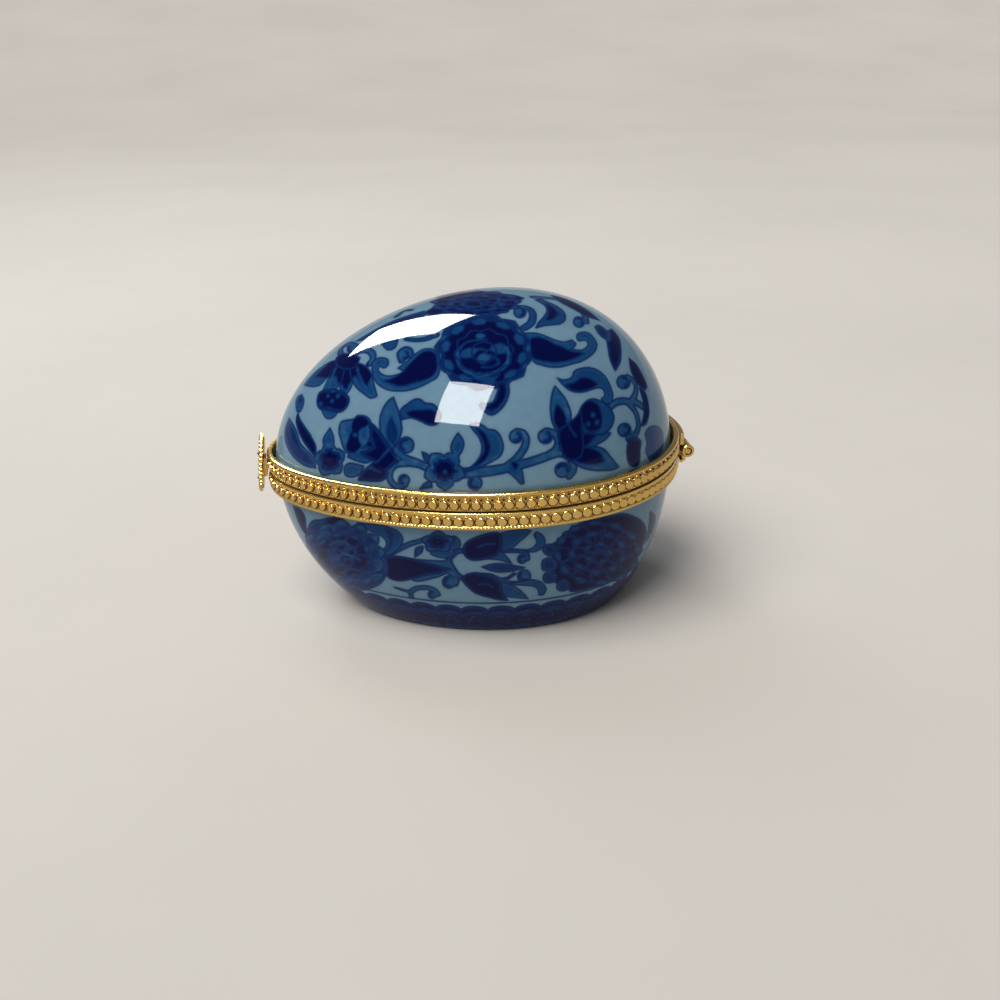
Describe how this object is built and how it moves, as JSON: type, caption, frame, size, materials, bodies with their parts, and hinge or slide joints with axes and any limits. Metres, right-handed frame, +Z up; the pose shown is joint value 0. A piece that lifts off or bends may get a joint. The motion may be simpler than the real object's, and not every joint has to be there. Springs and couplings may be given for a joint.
{
  "type": "hinged porcelain egg trinket box",
  "caption": "Egg-shaped trinket box lying on its side, in blue-and-white glazed porcelain, with gilt beaded rims, a hinge at the blunt end and an ornamental clasp.",
  "frame": {"origin": "middle of the flat underside, on the surface the box stands on, below the middle of the porcelain's length", "axes": "+Z up, +X along the egg towards the hinge at its blunt end, -X towards the clasp at its pointed end, Y across"},
  "size_m": [0.0773, 0.0552, 0.055],
  "materials": {
    "porcelain": "glossy clear glaze over blue underglaze painting on a pale blue-grey ground",
    "gilt_brass": "gilt, satin ground with bright beads and edges"
  },
  "bodies": {
    "bowl": {"porcelain_bowl": "porcelain", "bowl_rim": "gilt_brass", "hinge_leaf_bowl": "gilt_brass", "hinge_pin": "gilt_brass"},
    "lid": {"porcelain_lid": "porcelain", "lid_rim": "gilt_brass", "hinge_leaf_lid": "gilt_brass", "clasp_plate": "gilt_brass"}
  },
  "joints": [
    {"name": "lid_hinge", "type": "hinge", "parent": "bowl", "child": "lid", "pos_m": [0.03775, 0, 0.0253], "axis": [0, 1, 0], "range_deg": [0, 100]}
  ]
}
